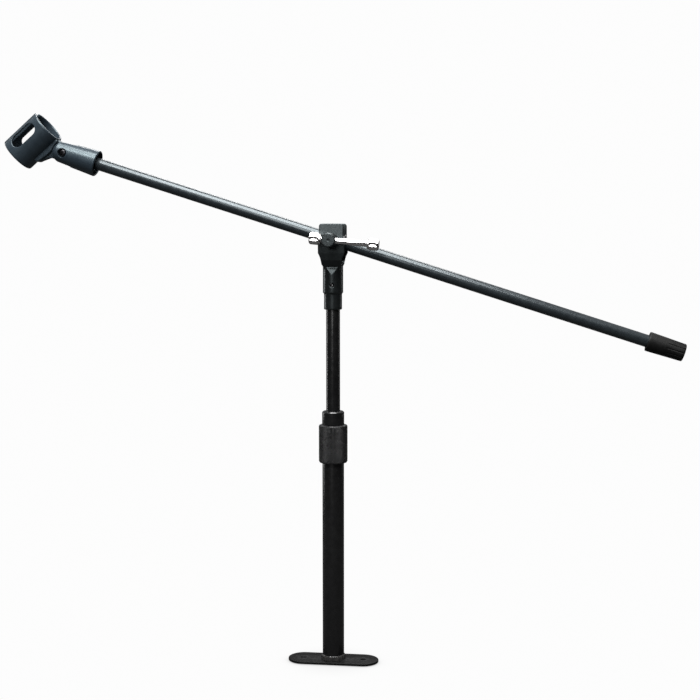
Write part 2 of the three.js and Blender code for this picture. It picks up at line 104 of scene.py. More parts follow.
def softCorners(points, steps=4, longest=0.49):
    # points are (radius, height) or (radius, height, fillet); each fillet becomes an arc
    # that takes no more than the longest share of a side
    out = []
    count = len(points)
    for i, point in enumerate(points):
        here = Vector(point[:2])
        fillet = point[2] if len(point) > 2 else 0
        if not fillet:
            out.append(here)
            continue
        before = Vector(points[i - 1][:2]) - here
        after = Vector(points[(i + 1) % count][:2]) - here
        half = before.angle(after) / 2
        run = min(fillet / math.tan(half), before.length * longest, after.length * longest)
        radius = run * math.tan(half)
        inward = (before.normalized() + after.normalized()).normalized()
        middle = here + inward * (radius / math.sin(half))
        start = here + before.normalized() * run - middle
        stop = here + after.normalized() * run - middle
        sweep = start.angle_signed(stop)
        for k in range(steps + 1):
            angle = -sweep * k / steps
            spun = Vector((start.x * math.cos(angle) - start.y * math.sin(angle),
                           start.x * math.sin(angle) + start.y * math.cos(angle)))
            out.append(middle + spun)
    return out


def axisTurn(axis):
    # carries local Z onto the named axis
    if axis == "X":
        return Matrix.Rotation(math.pi / 2, 4, "Y")
    if axis == "Y":
        return Matrix.Rotation(-math.pi / 2, 4, "X")
    return Matrix.Identity(4)


def turnedMesh(profile, axis="Z", segments=96, shift=(0, 0, 0), ripple=None):
    # a closed profile turned round; ripple(angle, radius, height) gives a new radius
    bm = bmesh.new()
    rings = []
    for radius, height in profile:
        if radius < onAxis:
            rings.append([bm.verts.new((0, 0, height))])
            continue
        ring = []
        for k in range(segments):
            angle = fullTurn * k / segments
            r = ripple(angle, radius, height) if ripple else radius
            ring.append(bm.verts.new((r * math.cos(angle), r * math.sin(angle), height)))
        rings.append(ring)
    for a, b in zip(rings, rings[1:] + rings[:1]):
        if len(a) == 1 and len(b) == 1:
            continue
        for k in range(segments):
            after = (k + 1) % segments
            corners = [a[k % len(a)], a[after % len(a)], b[after % len(b)], b[k % len(b)]]
            bm.faces.new(list(dict.fromkeys(corners)))
    bmesh.ops.transform(bm, matrix=Matrix.Translation(shift) @ axisTurn(axis), verts=bm.verts)
    return bm


def turned(name, profile, axis="Z", segments=96, shift=(0, 0, 0)):
    return newObject(name, turnedMesh(softCorners(profile), axis, segments, shift))


def rod(name, radius, start, stop, axis="Z", segments=64, shift=(0, 0, 0)):
    return turned(name, [(0, start), (radius, start), (radius, stop), (0, stop)],
                  axis, segments, shift)


def drill(name, radius, axis, segments=64, shift=(0, 0, 0), half=20):
    # a round cutter that runs half its length to either side
    return rod(name, radius, -half, half, axis, segments, shift)


def pipe(name, inner, outer, start, stop, axis, innerEdge, outerEdge, segments=96, shift=(0, 0, 0)):
    # a tube or a ring with softened edges
    return turned(name, [(inner, start, innerEdge), (outer, start, outerEdge),
                         (outer, stop, outerEdge), (inner, stop, innerEdge)], axis, segments, shift)


def block(name, size, centre):
    bm = bmesh.new()
    bmesh.ops.create_cube(bm, size=1)
    placed = Matrix.Translation(centre) @ Matrix.Diagonal((*size, 1))
    bmesh.ops.transform(bm, matrix=placed, verts=bm.verts)
    return newObject(name, bm)


def slab(name, outline, low, high, across="Y"):
    # an outline in X and Z given thickness along Y, or in Y and Z along X
    bm = bmesh.new()
    put = {"Y": lambda p, t: (p[0], t, p[1]), "X": lambda p, t: (t, p[0], p[1])}[across]
    first = [bm.verts.new(put(p, low)) for p in outline]
    second = [bm.verts.new(put(p, high)) for p in outline]
    bm.faces.new(first)
    bm.faces.new(list(reversed(second)))
    count = len(outline)
    for i in range(count):
        j = (i + 1) % count
        bm.faces.new((first[i], second[i], second[j], first[j]))
    return newObject(name, bm)


def mirrored(side):
    # a closed outline from its right-hand side
    return side + [(-x, z) for x, z in reversed(side)]


def arc(centreX, centreY, radius, start, stop, steps=10):
    span = stop - start
    angles = [math.radians(start + span * k / steps) for k in range(steps + 1)]
    return [(centreX + radius * math.cos(a), centreY + radius * math.sin(a)) for a in angles]


def stadium(length, width, steps=36):
    radius = width / 2
    straight = length / 2 - radius
    return arc(straight, 0, radius, -90, 90, steps) + arc(-straight, 0, radius, 90, 270, steps)


def applyModifiers(piece):
    graph = bpy.context.evaluated_depsgraph_get()
    mesh = bpy.data.meshes.new_from_object(piece.evaluated_get(graph))
    piece.modifiers.clear()
    old = piece.data
    piece.data = mesh
    bpy.data.meshes.remove(old)


def combine(piece, operation, *tools):
    for tool in tools:
        step = piece.modifiers.new(operation, "BOOLEAN")
        step.operation = operation
        step.solver = "EXACT"
        step.object = tool
        applyModifiers(piece)
        bpy.data.objects.remove(tool)


def cutAway(piece, *tools):
    combine(piece, "DIFFERENCE", *tools)


def joinOn(piece, *others):
    combine(piece, "UNION", *others)


def soften(piece, voxel, passes):
    # even small faces over the whole solid, then rounded edges as on a casting or a moulding
    remesh = piece.modifiers.new("even", "REMESH")
    remesh.mode = "VOXEL"
    remesh.voxel_size = voxel
    smooth = piece.modifiers.new("round", "SMOOTH")
    smooth.factor = 0.5
    smooth.iterations = passes
    applyModifiers(piece)


def place(piece, space, sharpAngle=32):
    piece.data.transform(space)
    piece.data.polygons.foreach_set("use_smooth", [True] * len(piece.data.polygons))
    if sharpAngle:
        piece.data.set_sharp_from_angle(angle=math.radians(sharpAngle))
    piece.data.update()
    return piece


def fit(piece, material, body, slotName, *nodes):
    piece.data.materials.clear()
    piece.data.materials.append(material)
    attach(piece, body)
    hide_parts(*nodes)


# shader tools and groups

def feed(tree, socket, value):
    # a link from another socket, or else a plain value; a colour gets its alpha
    if isinstance(value, bpy.types.NodeSocket):
        tree.links.new(value, socket)
    elif socket.type == "RGBA":
        socket.default_value = (*value, 1)
    else:
        socket.default_value = value


def addNode(tree, kind, **settings):
    node = tree.nodes.new(kind)
    for key, value in settings.items():
        if key.startswith("in_"):
            feed(tree, node.inputs[key[3:].replace("_", " ")], value)
        else:
            setattr(node, key, value)
    return node


def mathNode(tree, operation, a, b, clamp=False):
    node = addNode(tree, "ShaderNodeMath", operation=operation, use_clamp=clamp)
    feed(tree, node.inputs[0], a)
    feed(tree, node.inputs[1], b)
    return node.outputs[0]


def times(tree, a, b, clamp=False):
    return mathNode(tree, "MULTIPLY", a, b, clamp)


def plus(tree, a, b, clamp=False):
    return mathNode(tree, "ADD", a, b, clamp)


def ramp(tree, value, band):
    # 0 at the band's first value, 1 at its second
    node = addNode(tree, "ShaderNodeMapRange", in_Value=value, in_From_Min=band[0], in_From_Max=band[1])
    return node.outputs["Result"]


def noiseOf(tree, vector, scale, detail=4.0, roughness=0.55):
    node = addNode(tree, "ShaderNodeTexNoise", in_Vector=vector, in_Scale=scale, in_Detail=detail,
                   in_Roughness=roughness)
    return node.outputs["Fac"]


def mixColour(tree, mask, under, over):
    node = addNode(tree, "ShaderNodeMix", data_type="RGBA", in_Factor=mask)
    feed(tree, node.inputs[6], under)
    feed(tree, node.inputs[7], over)
    return node.outputs[2]


def newGroup(name, outputs, **inputs):
    # a tuple makes a vector input and a number a plain one; every output is a plain value
    group = bpy.data.node_groups.new(name, "ShaderNodeTree")
    for label, value in {"Vector": (0, 0, 0), **inputs}.items():
        kind = "NodeSocketVector" if isinstance(value, tuple) else "NodeSocketFloat"
        socket = group.interface.new_socket(label.replace("_", " "), in_out="INPUT", socket_type=kind)
        socket.default_value = value
    for label in outputs:
        group.interface.new_socket(label, in_out="OUTPUT", socket_type="NodeSocketFloat")
    ins = group.nodes.new("NodeGroupInput").outputs
    outs = group.nodes.new("NodeGroupOutput").inputs
    return group, ins, outs


def makeEdgeWear():
    # bright worn edges, broken up by noise
    band = {"edge": (0.53, 0.62), "breakup": (0.42, 0.62)}
    group, ins, outs = newGroup("edgeWear", ["Mask"], Amount=0.5, Breakup=400.0)
    shape = group.nodes.new("ShaderNodeNewGeometry")
    edge = ramp(group, shape.outputs["Pointiness"], band["edge"])
    broken = ramp(group, noiseOf(group, ins["Vector"], ins["Breakup"]), band["breakup"])
    feed(group, outs["Mask"], times(group, times(group, edge, broken), ins["Amount"], True))
    return group


def makeDust():
    # dust that has settled on what faces up, in soft patches with specks
    band = {"upward": (0.15, 1.0), "patch": (0.35, 0.75), "speck": (0.66, 0.74)}
    speckScale, speckShare = 2600.0, 0.35
    group, ins, outs = newGroup("settledDust", ["Mask"], Amount=0.3, Patch_Scale=40.0)
    shape = group.nodes.new("ShaderNodeNewGeometry")
    split = group.nodes.new("ShaderNodeSeparateXYZ")
    feed(group, split.inputs[0], shape.outputs["Normal"])
    upward = ramp(group, split.outputs["Z"], band["upward"])
    patch = ramp(group, noiseOf(group, ins["Vector"], ins["Patch Scale"], 6.0), band["patch"])
    speck = ramp(group, noiseOf(group, ins["Vector"], speckScale, 2.0), band["speck"])
    both = plus(group, times(group, patch, upward), times(group, speck, speckShare), True)
    feed(group, outs["Mask"], times(group, both, ins["Amount"], True))
    return group


def makeGrain():
    # fine tooth of paint, rubber or moulded plastic, with slow waves under it
    group, ins, outs = newGroup("surfaceGrain", ["Height", "Blotch"], Fine_Scale=1500.0,
                                Wave_Scale=120.0, Wave_Share=0.4)
    fine = noiseOf(group, ins["Vector"], ins["Fine Scale"], 3.0, 0.6)
    wave = noiseOf(group, ins["Vector"], ins["Wave Scale"], 2.0, 0.5)
    feed(group, outs["Height"], plus(group, fine, times(group, wave, ins["Wave Share"])))
    feed(group, outs["Blotch"], ramp(group, wave, (0.3, 0.7)))
    return group


def makeScratches():
    # hairline marks, mostly along one direction
    band = {"line": (0.6, 0.72), "patch": (0.45, 0.65)}
    patchScale = 45.0
    group, ins, outs = newGroup("hairlines", ["Mask"], Along=(1.0, 1.0, 0.04), Scale=900.0, Amount=0.5)
    stretch = addNode(group, "ShaderNodeVectorMath", operation="MULTIPLY")
    feed(group, stretch.inputs[0], ins["Vector"])
    feed(group, stretch.inputs[1], ins["Along"])
    lines = ramp(group, noiseOf(group, stretch.outputs[0], ins["Scale"], 2.0, 0.4), band["line"])
    patches = ramp(group, noiseOf(group, ins["Vector"], patchScale, 3.0), band["patch"])
    feed(group, outs["Mask"], times(group, times(group, lines, patches), ins["Amount"], True))
    return group


edgeWear = makeEdgeWear()
settledDust = makeDust()
surfaceGrain = makeGrain()
hairlines = makeScratches()
print("shader groups made")


# materials

baseLook = {
    "colour": (0.003, 0.003, 0.0031), "colourTwo": (0.0045, 0.0045, 0.0047),
    "wornColour": (0.25, 0.25, 0.26), "dustColour": (0.16, 0.155, 0.15), "rough": 0.22,
    "roughVary": 0.06, "markRough": 0.15, "dustRough": 0.35, "metal": False, "wornMetal": 0.8,
    "specular": 0.5, "sheenTint": (1, 1, 1), "bump": 0.012, "markDepth": 0.5, "grainScale": 1500,
    "waveScale": 160, "waveShare": 0.6, "wear": 0.2, "breakup": 500, "dust": 0.03, "patchScale": 30,
    "lean": 0, "along": (1, 1, 0.04), "lineScale": 900, "marks": 0.5}


def leanOf(joint):
    # the turn about Y that brings a leaning axis level
    axis = jointNamed[joint]["axis"]
    return -math.atan2(-axis[2], axis[0])


def finish(name, **changes):
    # one coated or bare surface; metal shows through the coat where it is worn
    look = {**baseLook, **changes}
    material = bpy.data.materials.new(name)
    material.use_nodes = True
    tree = material.node_tree
    shader = tree.nodes["Principled BSDF"].inputs
    where = tree.nodes.new("ShaderNodeTexCoord").outputs["Object"]
    if look["lean"]:
        where = addNode(tree, "ShaderNodeMapping", in_Vector=where,
                        in_Rotation=(0, look["lean"], 0)).outputs["Vector"]

    def placeGroup(group, **values):
        node = addNode(tree, "ShaderNodeGroup", node_tree=group)
        for key, value in {"Vector": where, **values}.items():
            feed(tree, node.inputs[key.replace("_", " ")], value)
        return node.outputs

    grain = placeGroup(surfaceGrain, Fine_Scale=look["grainScale"], Wave_Scale=look["waveScale"],
                       Wave_Share=look["waveShare"])
    wear = placeGroup(edgeWear, Amount=look["wear"], Breakup=look["breakup"])["Mask"]
    dust = placeGroup(settledDust, Amount=look["dust"], Patch_Scale=look["patchScale"])["Mask"]
    marks = placeGroup(hairlines, Along=look["along"], Scale=look["lineScale"],
                       Amount=look["marks"])["Mask"]

    colour = mixColour(tree, grain["Blotch"], look["colour"], look["colourTwo"])
    colour = mixColour(tree, wear, colour, look["wornColour"])
    feed(tree, shader["Base Color"], mixColour(tree, dust, colour, look["dustColour"]))

    rough = plus(tree, look["rough"], times(tree, grain["Blotch"], look["roughVary"]))
    rough = plus(tree, rough, times(tree, marks, look["markRough"]))
    rough = plus(tree, rough, times(tree, dust, look["dustRough"]), True)
    feed(tree, shader["Roughness"], rough)

    metal = 1.0 if look["metal"] else times(tree, wear, look["wornMetal"], True)
    feed(tree, shader["Metallic"], metal)
    feed(tree, shader["Specular IOR Level"], look["specular"])
    feed(tree, shader["Specular Tint"], look["sheenTint"])

    height = mathNode(tree, "SUBTRACT", grain["Height"], times(tree, marks, look["markDepth"]))
    bump = addNode(tree, "ShaderNodeBump", in_Height=height, in_Strength=1.0,
                   in_Distance=look["bump"] * mm)
    feed(tree, shader["Normal"], bump.outputs["Normal"])
    return material


tubePaint = finish("tubePaint")
boomPaint = finish(
    "boomPaint", colour=(0.009, 0.0115, 0.0135), colourTwo=(0.013, 0.0165, 0.019), rough=0.25,
    sheenTint=(0.86, 0.96, 1.0), lean=leanOf("boom_slide"), along=(0.04, 1, 1), bump=0.006)
platePaint = finish(
    "platePaint", colour=(0.0025, 0.0025, 0.0026), colourTwo=(0.0045, 0.0045, 0.0046), rough=0.42,
    roughVary=0.14, dust=0.012, specular=0.07, bump=0.035, grainScale=1100, waveScale=220, wear=0.5,
    marks=0.8)
weldPaint = finish(
    "weldPaint", colour=(0.012, 0.012, 0.012), colourTwo=(0.022, 0.021, 0.02), rough=0.12, bump=0.05,
    grainScale=700, waveScale=300)
castPaint = finish(
    "castPaint", colour=(0.0026, 0.003, 0.0032), colourTwo=(0.004, 0.0046, 0.0048), rough=0.29,
    specular=0.55, sheenTint=(0.84, 0.97, 1.0), bump=0.016, grainScale=900, waveScale=260, wear=0.25,
    dust=0.04)
knurlPaint = finish(
    "knurlPaint", colour=(0.0035, 0.0035, 0.0037), colourTwo=(0.006, 0.006, 0.0062), rough=0.24,
    specular=0.3, wear=0.6, breakup=260, wornColour=(0.10, 0.10, 0.105), wornMetal=0.5)
chromePlate = finish(
    "chromePlate", colour=(0.74, 0.73, 0.725), colourTwo=(0.66, 0.65, 0.65), wornColour=(0.8, 0.8, 0.8),
    rough=0.08, roughVary=0.07, metal=True, bump=0.006, waveScale=90, lean=leanOf("bar_slide"),
    along=(0.05, 1, 1))
zincPlate = finish(
    "zincPlate", colour=(0.55, 0.56, 0.57), colourTwo=(0.46, 0.47, 0.48), wornColour=(0.7, 0.7, 0.7),
    rough=0.24, roughVary=0.14, metal=True, dust=0.08)
darkScrew = finish(
    "darkScrew", colour=(0.045, 0.044, 0.048), colourTwo=(0.03, 0.03, 0.033),
    wornColour=(0.5, 0.5, 0.5), rough=0.2, roughVary=0.12, metal=True, wear=0.5, bump=0.01)
brassBare = finish(
    "brassBare", colour=(0.62, 0.43, 0.16), colourTwo=(0.5, 0.33, 0.12), wornColour=(0.8, 0.6, 0.3),
    rough=0.25, roughVary=0.15, metal=True, bump=0.01)
nylonBare = finish(
    "nylonBare", colour=(0.72, 0.69, 0.6), colourTwo=(0.66, 0.62, 0.53), wornColour=(0.8, 0.78, 0.7),
    rough=0.42, wornMetal=0, bump=0.02, dust=0.08)
nylonBlack = finish(
    "nylonBlack", colour=(0.012, 0.012, 0.013), colourTwo=(0.018, 0.018, 0.019), rough=0.4,
    wornMetal=0, wornColour=(0.05, 0.05, 0.05), bump=0.02)
clipMould = finish(
    "clipMould", colour=(0.013, 0.019, 0.025), colourTwo=(0.017, 0.024, 0.031), rough=0.29,
    specular=0.44, sheenTint=(0.8, 0.96, 1.0), wornMetal=0, wornColour=(0.06, 0.07, 0.08), wear=0.15,
    bump=0.006, grainScale=1300, waveScale=140, marks=0.3)
capRubber = finish(
    "capRubber", colour=(0.0028, 0.0028, 0.0028), colourTwo=(0.004, 0.004, 0.004), rough=0.45,
    specular=0.14, roughVary=0.12, wornMetal=0, wornColour=(0.05, 0.05, 0.05), wear=0.25, bump=0.04,
    grainScale=1000, dust=0.1)
print("materials made")


# plate, weld and column

def makeBasePlate():
    plate = {"edge": 0.8, "edgeSteps": 5, "holeRadius": 3.25, "holeOffset": 35, "holeSink": 0.45}
    low, high = reach("base_plate", standSpace)
    length = high.x - low.x
    width = high.y - low.y
    bm = bmesh.new()
    rings = []
    edge, steps = plate["edge"], plate["edgeSteps"]
    for k in range(steps + 1):
        angle = math.pi / 2 * k / steps
        rings.append((edge * (1 - math.sin(angle)), low.z + edge * (1 - math.cos(angle))))
    rings += [(inset, low.z + high.z - height) for inset, height in reversed(rings)]
    loops = [[bm.verts.new((x, y, height)) for x, y in stadium(length - 2 * inset, width - 2 * inset)]
             for inset, height in rings]
    for a, b in zip(loops, loops[1:]):
        for i in range(len(a)):
            j = (i + 1) % len(a)
            bm.faces.new((a[i], a[j], b[j], b[i]))
    bm.faces.new(list(reversed(loops[0])))
    bm.faces.new(loops[-1])
    piece = newObject("basePlate", bm)
    hole, sink = plate["holeRadius"], plate["holeSink"]
    mouth = hole + sink + over
    for side in (-1, 1):
        cutAway(piece, turned("holeCutter", [
            (0, low.z - over), (mouth, low.z - over), (hole, low.z + sink), (hole, high.z - sink),
            (mouth, high.z + over), (0, high.z + over)],
            segments=64, shift=(side * plate["holeOffset"], 0, 0)))
    fit(place(piece, standSpace), platePaint, "stand_base", "plate_black", "base_plate")


def makeWeldBead():
    weld = {"ripples": 26, "rippleDepth": 0.6, "lump": 0.6, "lumpMiddle": 0.45, "lumpSwing": 0.9,
            "waver": 5, "wobbleScale": 2, "toTube": 0.1, "skin": 0.05, "foot": 0.02, "segments": 420,
            "steps": 11, "seed": 7.0}
    radius, low, high = barrel("weld_bead", standSpace)
    tubeRadius = barrel("lower_tube", standSpace)[0] + weld["toTube"]
    reachOut = radius - tubeRadius
    skin, foot = weld["skin"], weld["foot"]
    profile = [(tubeRadius, low)]
    for k in range(weld["steps"] + 1):
        angle = math.pi / 2 * k / weld["steps"]
        profile.append((tubeRadius + skin + (reachOut - skin) * math.cos(angle),
                        low + foot + (high - low - foot) * math.sin(angle)))

    def ripple(angle, r, height):
        share = (r - tubeRadius) / reachOut
        wobble = noise.noise(Vector((math.cos(angle) * weld["wobbleScale"],
                                     math.sin(angle) * weld["wobbleScale"], weld["seed"])))
        wave = 0.5 + 0.5 * math.cos(angle * weld["ripples"] + weld["waver"] * wobble)
        lump = weld["lump"] * (weld["lumpMiddle"] + wobble * weld["lumpSwing"])
        return r - share * (weld["rippleDepth"] * wave + lump)

    piece = newObject("weldBead", turnedMesh(profile, segments=weld["segments"], ripple=ripple))
    fit(place(piece, standSpace), weldPaint, "stand_base", "plate_black", "weld_bead")


def makeTube(name, node, space, along, wall, material, body, slotName, edge=0.35):
    radius, start, stop = barrel(node, space, along)
    piece = pipe(name, radius - wall, radius, start, stop, along, edge, edge, 128)
    fit(place(piece, space), material, body, slotName, node)


def threadPoints(radius, start, stop, pitch, perTurn=6):
    # heights close enough together for a thread to be pressed into them
    count = max(2, round(abs(stop - start) / pitch * perTurn))
    return [(radius, start + (stop - start) * k / count) for k in range(count + 1)]


def threadRipple(pitch, depth, start, stop, minRadius):
    # a helical groove between two heights, fading in and out over half a turn
    def ripple(angle, radius, height):
        if radius < minRadius or not start <= height <= stop:
            return radius
        phase = (height / pitch - angle / fullTurn) % 1
        groove = abs(phase * 2 - 1)
        fade = min(1, (height - start) / pitch * 2, (stop - height) / pitch * 2)
        return radius - depth * groove * fade
    return ripple


def makeClutch():
    ferrule = {"pitch": 1.5, "depth": 0.75, "lead": 0.4, "taper": 0.8, "bore": 8.8, "cup": 11.6,
               "cupFloor": 2.3}
    radius, low, high = barrel("clutch_ferrule", standSpace)
    inner = barrel("lower_tube", standSpace)[0] + clearance
    tubeTop = barrel("lower_tube", standSpace)[2] + clearance
    threadLow, threadHigh = low + ferrule["lead"], high - ferrule["lead"]
    cupFloor = tubeTop + ferrule["cupFloor"]
    profile = [(inner, low), *threadPoints(radius, threadLow, threadHigh, ferrule["pitch"]),
               (radius - ferrule["taper"], high), (ferrule["cup"], high), (ferrule["cup"], cupFloor),
               (ferrule["bore"], cupFloor), (ferrule["bore"], tubeTop), (inner, tubeTop)]
    piece = newObject("clutchFerrule", turnedMesh(profile, segments=120, ripple=threadRipple(
        ferrule["pitch"], ferrule["depth"], threadLow, threadHigh, radius - 0.1)))
    fit(place(piece, standSpace), zincPlate, "stand_base", "zinc_steel", "clutch_ferrule")

    collet = {"coneTop": 9.6, "coneFoot": 262.4, "slitLength": 8, "slitWidth": 1.6, "slitOut": 3.7,
              "slitUp": 3}
    radius, low, high = barrel("clutch_collet", standSpace)
    inner = barrel("upper_tube", standSpace)[0] + clearance
    piece = turned("clutchCollet", [
        (inner, low, 0.3), (radius, low, 0.5), (radius, collet["coneFoot"], 0.4),
        (collet["coneTop"], high, 0.4), (inner, high, 0.3)])
    cutAway(piece, block("slit", (collet["slitLength"], collet["slitWidth"], high - low),
                         (inner + collet["slitOut"], 0, (low + high) / 2 + collet["slitUp"])))
    fit(place(piece, standSpace), nylonBare, "stand_base", "nylon", "clutch_collet")


def makeClutchKnob():
    # coneFoot is a height above the plate's underside
    knob = {"diamonds": 36, "depth": 1.0, "segments": 480, "heightStep": 0.3, "foot": 1.3, "brow": 1.3,
            "shell": 2.4, "roof": 3, "coneTopRadius": 10.0, "coneFootRadius": 12.0, "coneFoot": 263.5,
            "fadeLow": 1.2, "fadeHigh": 1.6, "rimDepth": 0.3, "leastDepth": 0.25, "toTube": 0.6}
    radius, low, high = barrel("clutch_knob", standSpace)
    bore = barrel("upper_tube", standSpace)[0] + knob["toTube"]
    foot, brow, step, shell = knob["foot"], knob["brow"], knob["heightStep"], radius - knob["shell"]
    pitch = fullTurn * radius / knob["diamonds"]
    outer = [(radius - foot, low), (radius, low + foot)]
    outer += [(radius, low + foot + k * step) for k in range(1, int((high - low - foot - brow) / step))]
    outer += [(radius, high - brow), (radius - brow * 0.5, high - brow * 0.4),
              (radius - brow * 1.6, high)]
    inside = [(bore, high), (bore, high - knob["roof"]), (knob["coneTopRadius"], high - knob["roof"]),
              (knob["coneFootRadius"], knob["coneFoot"]), (shell, knob["coneFoot"]), (shell, low)]

    def knurl(angle, r, height):
        if r < radius - foot - 0.01 or height < low + 0.1:
            return r
        around = angle * knob["diamonds"] / fullTurn
        up = height / pitch
        one = abs((around + up) % 1 - 0.5) * 2
        two = abs((around - up) % 1 - 0.5) * 2
        fade = min(1, (height - low) / knob["fadeLow"],
                   knob["rimDepth"] + (high - height) / knob["fadeHigh"])
        return r - knob["depth"] * (1 - min(one, two)) * max(knob["leastDepth"], fade)

    piece = newObject("clutchKnob", turnedMesh(outer + inside, segments=knob["segments"], ripple=knurl))
    fit(place(piece, standSpace, 60), knurlPaint, "clutch_nut", "knurl_black", "clutch_knob")

    ring = {"chamfer": 1.2, "round": 0.35, "foot": 0.3, "toTube": 0.4}
    radius, low, high = barrel("clutch_neck_ring", standSpace)
    bore = barrel("upper_tube", standSpace)[0] + ring["toTube"]
    piece = turned("clutchNeckRing", [
        (bore, low), (radius, low, ring["foot"]), (radius, high - ring["chamfer"], ring["round"]),
        (radius - ring["chamfer"], high, ring["round"]), (bore, high, ring["round"])], segments=160)
    fit(place(piece, standSpace), tubePaint, "clutch_nut", "tube_black", "clutch_neck_ring")


def makeGuide():
    bush = {"wall": 2.1, "round": 0.5, "innerRound": 0.3}
    radius, low, high = barrel("guide_bush", standSpace)
    piece = pipe("guideBush", radius - bush["wall"], radius, low, high, "Z", bush["innerRound"],
                 bush["round"])
    fit(place(piece, standSpace), nylonBare, "guide", "nylon", "guide_bush")

    clipRing = {"inner": 8.3, "round": 0.2, "opening": (8, 5, 4)}
    for name, node in (("lowerBushClip", "lower_bush_clip"), ("upperBushClip", "upper_bush_clip")):
        low, high = reach(node, standSpace)
        piece = pipe(name, clipRing["inner"], high.x, low.z, high.z, "Z", clipRing["round"],
                     clipRing["round"])
        cutAway(piece, block("opening", clipRing["opening"], (-high.x, 0, (low.z + high.z) / 2)))
        fit(place(piece, standSpace), zincPlate, "column", "zinc_steel", node)


makeBasePlate()
makeWeldBead()
makeTube("lowerTube", "lower_tube", standSpace, "Z", 1.8, tubePaint, "stand_base", "tube_black", 0.5)
makeClutch()
makeClutchKnob()
makeGuide()
makeTube("upperTube", "upper_tube", standSpace, "Z", 1.2, tubePaint, "column", "tube_black")
print("plate and column made")


# fork head

def makeHead():
    # heights are above the plate's underside; depths are from the column's axis along Y
    head = {
        "sleeveRadius": 10.3, "sleeveEdge": 1.0, "stepHeight": 431.5, "stepRise": 1.5, "stepRound": 0.6,
        "shankRadius": 11.6, "rootBottom": 456, "rootHalf": 8, "rootDepth": 8.2, "slotFloor": 464,
        "floorHalf": 11.8, "rootHeight": 459.8, "underDepth": 9.2, "underHeight": 460.9,
        "shoulderDepth": 15.2, "shoulderHeight": 468.2, "saddleHeight": 476.5, "saddleHalf": 15.2,
        "saddleDepth": 16.2, "flareSteps": 8, "flarePower": 2.2, "waistHeight": 489.5, "blockHalf": 13.9,
        "topDepth": 16.5, "corner": 3.2, "gapHalf": 12.85, "cornerFill": 3.4, "screwHole": 4.4,
        "pinHole": 2.4, "pinHeight": 440, "toTube": 0.35, "scoopFoot": 451.3, "scoopRadius": 19,
        "scoopTurn": 44, "scoopSteps": 18, "voxel": 0.36, "passes": 5}
    inset = 0.08   # the rounded skin stays just inside the CAD faces
    far = 30       # the blanks and the slot reach this far from the axis
    low, high = reach("head_casting", standSpace)
    floor, saddle, waist, top = head["slotFloor"], head["saddleHeight"], head["waistHeight"], high.z
    half, wide, corner = head["blockHalf"] - inset, head["saddleHalf"] - inset, head["corner"]
    shares = [k / head["flareSteps"] for k in range(head["flareSteps"] + 1)]
    flare = [(head["floorHalf"] + (wide - head["floorHalf"]) * share ** head["flarePower"],
              floor + (saddle - floor) * share) for share in shares]
    front = slab("headCasting", mirrored([
        (head["rootHalf"], head["rootBottom"]), *flare, (wide, waist - 1), (half, waist),
        *arc(half - corner, top - inset - corner, corner, 0, 90, 8)]), -far, far)
    combine(front, "INTERSECT", slab("side", mirrored([
        (head["rootDepth"], head["rootBottom"] - over), (head["rootDepth"], head["rootHeight"]),
        (head["underDepth"], head["underHeight"]), (head["shoulderDepth"], head["shoulderHeight"]),
        (head["saddleDepth"], saddle), (high.y - inset, waist), (head["topDepth"], top + over)]),
        -far, far, "X"))
    shank, step = head["shankRadius"], head["stepHeight"]
    sleeve = turned("sleeve", [
        (0, low.z), (head["sleeveRadius"], low.z, head["sleeveEdge"]),
        (head["sleeveRadius"], step - head["stepRise"]), (shank, step, head["stepRound"]),
        (shank, floor), (0, floor)], segments=128)
    # under each cheek the shank's top rolls back as it goes up
    foot, roll, steps = head["scoopFoot"], head["scoopRadius"], head["scoopSteps"]
    rolled = [(shank + 2, low.z - over), (shank + 2, foot - over)]
    rolled += [(shank - roll + roll * math.cos(a), foot + roll * math.sin(a))
               for a in (math.radians(head["scoopTurn"]) * k / steps for k in range(steps + 1))]
    combine(sleeve, "INTERSECT", slab("rolled", mirrored(rolled), -20, 20, "X"))
    joinOn(front, sleeve)
    tubeRadius, _, tubeTop = barrel("upper_tube", standSpace)
    bore = rod("bore", tubeRadius + head["toTube"], low.z - 5, tubeTop + clearance, segments=96)
    gapHalf, fill = head["gapHalf"], head["cornerFill"]
    slot = slab("slot", mirrored([(gapHalf - fill, floor), (gapHalf, floor + fill),
                                  (gapHalf, top + 10)]), -far, far, "X")
    screwHole = drill("screwHole", head["screwHole"], "Y", shift=(0, 0, tiltPoint.z / mm), half=40)
    pinHole = drill("pinHole", head["pinHole"], "Y", 32, (0, 0, head["pinHeight"]), 40)
    cutAway(front, bore, slot, screwHole, pinHole)
    soften(front, head["voxel"], head["passes"])
    fit(place(front, standSpace, 0), castPaint, "column", "cast_black", "head_casting")


